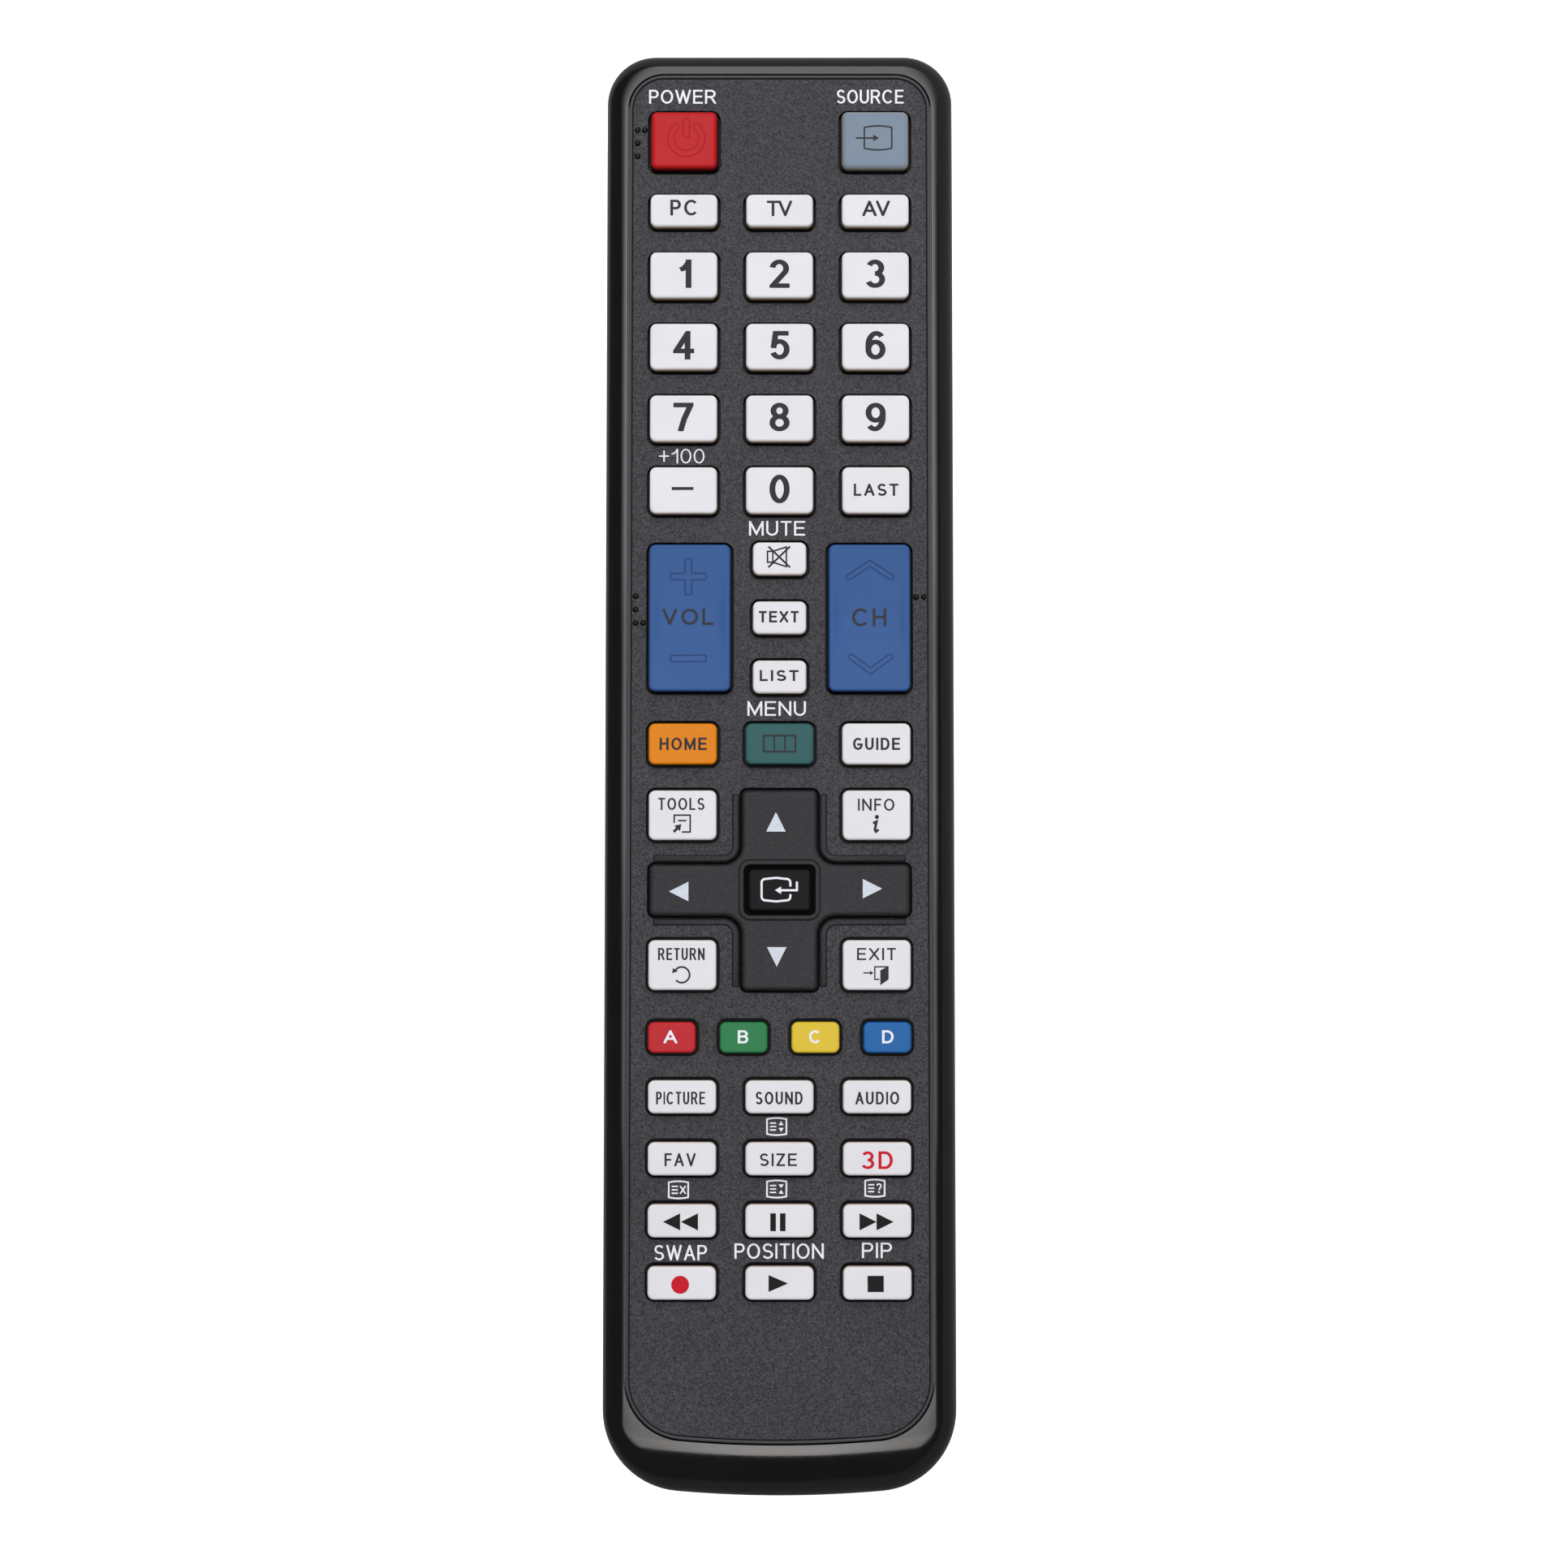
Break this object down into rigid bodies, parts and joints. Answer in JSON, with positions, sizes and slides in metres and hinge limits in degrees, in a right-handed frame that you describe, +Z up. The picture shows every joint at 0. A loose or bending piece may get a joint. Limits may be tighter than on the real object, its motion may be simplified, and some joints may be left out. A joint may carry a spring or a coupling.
{
  "type": "tv remote control",
  "caption": "Hand-held infrared television remote: glossy dark case with a sliding battery door, matte key face, rocker keys, a four-way pad round an enter key, and sprung push keys.",
  "frame": {"origin": "on the surface it lies on, under the middle of the case", "axes": "+Y along the length towards the signal end that points at the television, +Z up out of the key face, +X to the right when the keys are read"},
  "size_m": [0.048, 0.198, 0.0218],
  "materials": {
    "case_gloss": "gloss",
    "panel_matte": "matte, fine grain",
    "window_dark": "gloss",
    "emitter_clear": "clear lens",
    "board_green": "satin",
    "mat_grey": "matte",
    "component_black": "matte",
    "contact_metal": "bright plated",
    "cell_jacket": "satin",
    "seat_rubber": "matte",
    "pad_dark": "satin",
    "enter_dark": "satin",
    "key_white": "coated",
    "key_power_red": "coated",
    "key_slate_blue": "coated",
    "rocker_blue": "satin",
    "key_orange": "coated",
    "key_teal": "coated",
    "key_signal_red": "coated",
    "key_signal_green": "coated",
    "key_signal_yellow": "coated",
    "key_signal_blue": "coated"
  },
  "bodies": {
    "remote": {"rear_case": "case_gloss", "front_panel": "panel_matte", "circuit_board": "board_green", "keypad_mat": "mat_grey", "board_components": "component_black", "ir_window": "window_dark", "ir_emitter": "emitter_clear", "battery_contacts": "contact_metal", "battery_springs": "contact_metal", "battery_cells": "cell_jacket"},
    "battery_door": {"battery_door": "case_gloss"},
    "volume_rocker": {"volume_rocker": "rocker_blue"},
    "channel_rocker": {"channel_rocker": "rocker_blue"},
    "pad_seat": {"dpad_seat": "seat_rubber"},
    "pad": {"dpad_cross": "pad_dark"},
    "key_enter": {"key_enter": "enter_dark"},
    "key_power": {"key_power": "key_power_red"},
    "key_source": {"key_source": "key_slate_blue"},
    "key_pc": {"key_pc": "key_white"},
    "key_tv": {"key_tv": "key_white"},
    "key_av": {"key_av": "key_white"},
    "key_1": {"key_1": "key_white"},
    "key_2": {"key_2": "key_white"},
    "key_3": {"key_3": "key_white"},
    "key_4": {"key_4": "key_white"},
    "key_5": {"key_5": "key_white"},
    "key_6": {"key_6": "key_white"},
    "key_7": {"key_7": "key_white"},
    "key_8": {"key_8": "key_white"},
    "key_9": {"key_9": "key_white"},
    "key_dash": {"key_dash": "key_white"},
    "key_0": {"key_0": "key_white"},
    "key_last_channel": {"key_last_channel": "key_white"},
    "key_mute": {"key_mute": "key_white"},
    "key_text": {"key_text": "key_white"},
    "key_channel_list": {"key_channel_list": "key_white"},
    "key_home": {"key_home": "key_orange"},
    "key_menu": {"key_menu": "key_teal"},
    "key_guide": {"key_guide": "key_white"},
    "key_tools": {"key_tools": "key_white"},
    "key_info": {"key_info": "key_white"},
    "key_return": {"key_return": "key_white"},
    "key_exit": {"key_exit": "key_white"},
    "key_red": {"key_red": "key_signal_red"},
    "key_green": {"key_green": "key_signal_green"},
    "key_yellow": {"key_yellow": "key_signal_yellow"},
    "key_blue": {"key_blue": "key_signal_blue"},
    "key_picture_mode": {"key_picture_mode": "key_white"},
    "key_sound_mode": {"key_sound_mode": "key_white"},
    "key_audio": {"key_audio": "key_white"},
    "key_favourite": {"key_favourite": "key_white"},
    "key_picture_size": {"key_picture_size": "key_white"},
    "key_3d": {"key_3d": "key_white"},
    "key_rewind": {"key_rewind": "key_white"},
    "key_pause": {"key_pause": "key_white"},
    "key_forward": {"key_forward": "key_white"},
    "key_record": {"key_record": "key_white"},
    "key_play": {"key_play": "key_white"},
    "key_stop": {"key_stop": "key_white"}
  },
  "joints": [
    {"name": "battery_door_slide", "type": "slide", "parent": "remote", "child": "battery_door", "axis": [0, -1, 0], "range_m": [0, 0.062]},
    {"name": "volume_rock", "type": "hinge", "parent": "remote", "child": "volume_rocker", "pos_m": [-0.01225, 0.01995, 0.019], "axis": [1, 0, 0], "range_deg": [-4, 4], "stiffness_Nm_per_rad": 0.2},
    {"name": "channel_rock", "type": "hinge", "parent": "remote", "child": "channel_rocker", "pos_m": [0.01225, 0.01995, 0.019], "axis": [1, 0, 0], "range_deg": [-4, 4], "stiffness_Nm_per_rad": 0.2},
    {"name": "pad_up_down", "type": "hinge", "parent": "remote", "child": "pad_seat", "pos_m": [0, -0.01715, 0.019], "axis": [1, 0, 0], "range_deg": [-2.2, 2.2], "stiffness_Nm_per_rad": 0.57},
    {"name": "pad_left_right", "type": "hinge", "parent": "pad_seat", "child": "pad", "pos_m": [0, -0.01715, 0.019], "axis": [0, 1, 0], "range_deg": [-2.2, 2.2], "stiffness_Nm_per_rad": 0.57},
    {"name": "press_enter", "type": "slide", "parent": "remote", "child": "key_enter", "axis": [0, 0, -1], "range_m": [0, 0.0008], "stiffness_N_per_m": 1500},
    {"name": "press_power", "type": "slide", "parent": "remote", "child": "key_power", "axis": [0, 0, -1], "range_m": [0, 0.0008], "stiffness_N_per_m": 1500},
    {"name": "press_source", "type": "slide", "parent": "remote", "child": "key_source", "axis": [0, 0, -1], "range_m": [0, 0.0008], "stiffness_N_per_m": 1500},
    {"name": "press_pc", "type": "slide", "parent": "remote", "child": "key_pc", "axis": [0, 0, -1], "range_m": [0, 0.0008], "stiffness_N_per_m": 1500},
    {"name": "press_tv", "type": "slide", "parent": "remote", "child": "key_tv", "axis": [0, 0, -1], "range_m": [0, 0.0008], "stiffness_N_per_m": 1500},
    {"name": "press_av", "type": "slide", "parent": "remote", "child": "key_av", "axis": [0, 0, -1], "range_m": [0, 0.0008], "stiffness_N_per_m": 1500},
    {"name": "press_1", "type": "slide", "parent": "remote", "child": "key_1", "axis": [0, 0, -1], "range_m": [0, 0.0008], "stiffness_N_per_m": 1500},
    {"name": "press_2", "type": "slide", "parent": "remote", "child": "key_2", "axis": [0, 0, -1], "range_m": [0, 0.0008], "stiffness_N_per_m": 1500},
    {"name": "press_3", "type": "slide", "parent": "remote", "child": "key_3", "axis": [0, 0, -1], "range_m": [0, 0.0008], "stiffness_N_per_m": 1500},
    {"name": "press_4", "type": "slide", "parent": "remote", "child": "key_4", "axis": [0, 0, -1], "range_m": [0, 0.0008], "stiffness_N_per_m": 1500},
    {"name": "press_5", "type": "slide", "parent": "remote", "child": "key_5", "axis": [0, 0, -1], "range_m": [0, 0.0008], "stiffness_N_per_m": 1500},
    {"name": "press_6", "type": "slide", "parent": "remote", "child": "key_6", "axis": [0, 0, -1], "range_m": [0, 0.0008], "stiffness_N_per_m": 1500},
    {"name": "press_7", "type": "slide", "parent": "remote", "child": "key_7", "axis": [0, 0, -1], "range_m": [0, 0.0008], "stiffness_N_per_m": 1500},
    {"name": "press_8", "type": "slide", "parent": "remote", "child": "key_8", "axis": [0, 0, -1], "range_m": [0, 0.0008], "stiffness_N_per_m": 1500},
    {"name": "press_9", "type": "slide", "parent": "remote", "child": "key_9", "axis": [0, 0, -1], "range_m": [0, 0.0008], "stiffness_N_per_m": 1500},
    {"name": "press_dash", "type": "slide", "parent": "remote", "child": "key_dash", "axis": [0, 0, -1], "range_m": [0, 0.0008], "stiffness_N_per_m": 1500},
    {"name": "press_0", "type": "slide", "parent": "remote", "child": "key_0", "axis": [0, 0, -1], "range_m": [0, 0.0008], "stiffness_N_per_m": 1500},
    {"name": "press_last_channel", "type": "slide", "parent": "remote", "child": "key_last_channel", "axis": [0, 0, -1], "range_m": [0, 0.0008], "stiffness_N_per_m": 1500},
    {"name": "press_mute", "type": "slide", "parent": "remote", "child": "key_mute", "axis": [0, 0, -1], "range_m": [0, 0.0008], "stiffness_N_per_m": 1500},
    {"name": "press_text", "type": "slide", "parent": "remote", "child": "key_text", "axis": [0, 0, -1], "range_m": [0, 0.0008], "stiffness_N_per_m": 1500},
    {"name": "press_channel_list", "type": "slide", "parent": "remote", "child": "key_channel_list", "axis": [0, 0, -1], "range_m": [0, 0.0008], "stiffness_N_per_m": 1500},
    {"name": "press_home", "type": "slide", "parent": "remote", "child": "key_home", "axis": [0, 0, -1], "range_m": [0, 0.0008], "stiffness_N_per_m": 1500},
    {"name": "press_menu", "type": "slide", "parent": "remote", "child": "key_menu", "axis": [0, 0, -1], "range_m": [0, 0.0008], "stiffness_N_per_m": 1500},
    {"name": "press_guide", "type": "slide", "parent": "remote", "child": "key_guide", "axis": [0, 0, -1], "range_m": [0, 0.0008], "stiffness_N_per_m": 1500},
    {"name": "press_tools", "type": "slide", "parent": "remote", "child": "key_tools", "axis": [0, 0, -1], "range_m": [0, 0.0008], "stiffness_N_per_m": 1500},
    {"name": "press_info", "type": "slide", "parent": "remote", "child": "key_info", "axis": [0, 0, -1], "range_m": [0, 0.0008], "stiffness_N_per_m": 1500},
    {"name": "press_return", "type": "slide", "parent": "remote", "child": "key_return", "axis": [0, 0, -1], "range_m": [0, 0.0008], "stiffness_N_per_m": 1500},
    {"name": "press_exit", "type": "slide", "parent": "remote", "child": "key_exit", "axis": [0, 0, -1], "range_m": [0, 0.0008], "stiffness_N_per_m": 1500},
    {"name": "press_red", "type": "slide", "parent": "remote", "child": "key_red", "axis": [0, 0, -1], "range_m": [0, 0.0008], "stiffness_N_per_m": 1500},
    {"name": "press_green", "type": "slide", "parent": "remote", "child": "key_green", "axis": [0, 0, -1], "range_m": [0, 0.0008], "stiffness_N_per_m": 1500},
    {"name": "press_yellow", "type": "slide", "parent": "remote", "child": "key_yellow", "axis": [0, 0, -1], "range_m": [0, 0.0008], "stiffness_N_per_m": 1500},
    {"name": "press_blue", "type": "slide", "parent": "remote", "child": "key_blue", "axis": [0, 0, -1], "range_m": [0, 0.0008], "stiffness_N_per_m": 1500},
    {"name": "press_picture_mode", "type": "slide", "parent": "remote", "child": "key_picture_mode", "axis": [0, 0, -1], "range_m": [0, 0.0008], "stiffness_N_per_m": 1500},
    {"name": "press_sound_mode", "type": "slide", "parent": "remote", "child": "key_sound_mode", "axis": [0, 0, -1], "range_m": [0, 0.0008], "stiffness_N_per_m": 1500},
    {"name": "press_audio", "type": "slide", "parent": "remote", "child": "key_audio", "axis": [0, 0, -1], "range_m": [0, 0.0008], "stiffness_N_per_m": 1500},
    {"name": "press_favourite", "type": "slide", "parent": "remote", "child": "key_favourite", "axis": [0, 0, -1], "range_m": [0, 0.0008], "stiffness_N_per_m": 1500},
    {"name": "press_picture_size", "type": "slide", "parent": "remote", "child": "key_picture_size", "axis": [0, 0, -1], "range_m": [0, 0.0008], "stiffness_N_per_m": 1500},
    {"name": "press_3d", "type": "slide", "parent": "remote", "child": "key_3d", "axis": [0, 0, -1], "range_m": [0, 0.0008], "stiffness_N_per_m": 1500},
    {"name": "press_rewind", "type": "slide", "parent": "remote", "child": "key_rewind", "axis": [0, 0, -1], "range_m": [0, 0.0008], "stiffness_N_per_m": 1500},
    {"name": "press_pause", "type": "slide", "parent": "remote", "child": "key_pause", "axis": [0, 0, -1], "range_m": [0, 0.0008], "stiffness_N_per_m": 1500},
    {"name": "press_forward", "type": "slide", "parent": "remote", "child": "key_forward", "axis": [0, 0, -1], "range_m": [0, 0.0008], "stiffness_N_per_m": 1500},
    {"name": "press_record", "type": "slide", "parent": "remote", "child": "key_record", "axis": [0, 0, -1], "range_m": [0, 0.0008], "stiffness_N_per_m": 1500},
    {"name": "press_play", "type": "slide", "parent": "remote", "child": "key_play", "axis": [0, 0, -1], "range_m": [0, 0.0008], "stiffness_N_per_m": 1500},
    {"name": "press_stop", "type": "slide", "parent": "remote", "child": "key_stop", "axis": [0, 0, -1], "range_m": [0, 0.0008], "stiffness_N_per_m": 1500}
  ]
}
